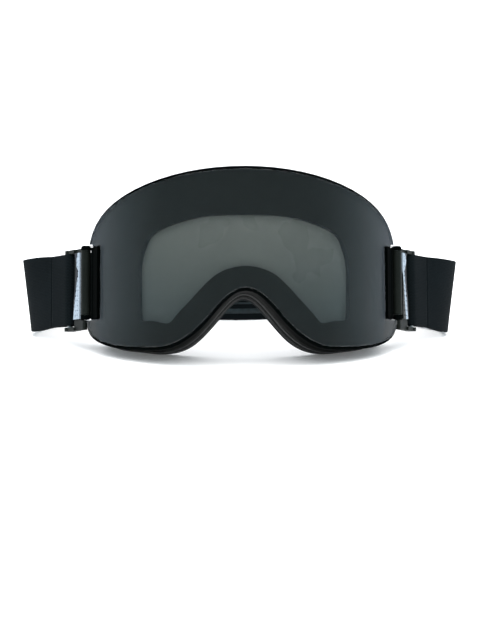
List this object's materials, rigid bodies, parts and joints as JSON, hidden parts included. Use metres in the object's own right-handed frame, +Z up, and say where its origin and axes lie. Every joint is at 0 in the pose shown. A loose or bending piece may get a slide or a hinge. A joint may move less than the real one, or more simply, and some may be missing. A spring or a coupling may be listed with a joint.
{
  "type": "ski goggles",
  "caption": "Ski goggles with a cylindrical magnetic lens, foam-lined frame, swinging outriggers and a wide strap with sliding adjusters.",
  "frame": {"origin": "middle of the box that holds the resting goggles, at the surface they stand on", "axes": "+X across the face towards the viewer's right, +Y to the back of the head, +Z up"},
  "size_m": [0.2504, 0.1478, 0.1041],
  "materials": {
    "lens_mirror": "gloss",
    "inner_lens": "gloss",
    "frame_black": "matte",
    "hinge_black": "matte",
    "arm_olive": "satin",
    "plate_silver": "satin",
    "steel": "satin",
    "foam_black": "matte",
    "fleece_black": "matte",
    "webbing_navy": "matte",
    "silicone_slate": "satin"
  },
  "bodies": {
    "frame": {"frame_chassis": "frame_black", "lens_bezel": "hinge_black", "frame_magnets": "steel", "vent_foam_top": "foam_black", "vent_foam_lower": "foam_black", "face_foam_base": "foam_black", "face_foam_mid": "foam_black", "face_foam_fleece": "fleece_black", "hinge_block_left": "hinge_black", "hinge_block_right": "hinge_black", "hinge_screws": "steel", "outrigger_pin_left": "steel", "outrigger_pin_right": "steel", "strap_main": "webbing_navy", "strap_tail_left": "webbing_navy", "strap_tail_right": "webbing_navy", "strap_grip": "silicone_slate"},
    "lens": {"outer_lens": "lens_mirror", "lens_gasket": "foam_black", "inner_lens": "inner_lens", "lens_magnets": "steel"},
    "left_outrigger": {"outrigger_left": "arm_olive", "outrigger_plate_left": "plate_silver", "strap_bar_left": "steel", "strap_wrap_left": "webbing_navy"},
    "right_outrigger": {"outrigger_right": "arm_olive", "outrigger_plate_right": "plate_silver", "strap_bar_right": "steel", "strap_wrap_right": "webbing_navy"},
    "left_adjuster": {"strap_adjuster_left": "hinge_black"},
    "right_adjuster": {"strap_adjuster_right": "hinge_black"}
  },
  "joints": [
    {"name": "lens_release", "type": "slide", "parent": "frame", "child": "lens", "axis": [0, -0.9715, 0.2368], "range_m": [0, 0.03]},
    {"name": "outrigger_swing_left", "type": "hinge", "parent": "frame", "child": "left_outrigger", "pos_m": [-0.0855, -0.02253, 0.03452], "axis": [0, 0.2368, 0.9715], "range_deg": [-8, 20]},
    {"name": "outrigger_swing_right", "type": "hinge", "parent": "frame", "child": "right_outrigger", "pos_m": [0.0855, -0.02253, 0.03452], "axis": [0, -0.2368, -0.9715], "range_deg": [-8, 20]},
    {"name": "adjuster_slide_left", "type": "slide", "parent": "frame", "child": "left_adjuster", "axis": [-1, 0, 0], "range_m": [-0.012, 0.008]},
    {"name": "adjuster_slide_right", "type": "slide", "parent": "frame", "child": "right_adjuster", "axis": [1, 0, 0], "range_m": [-0.012, 0.008]}
  ]
}
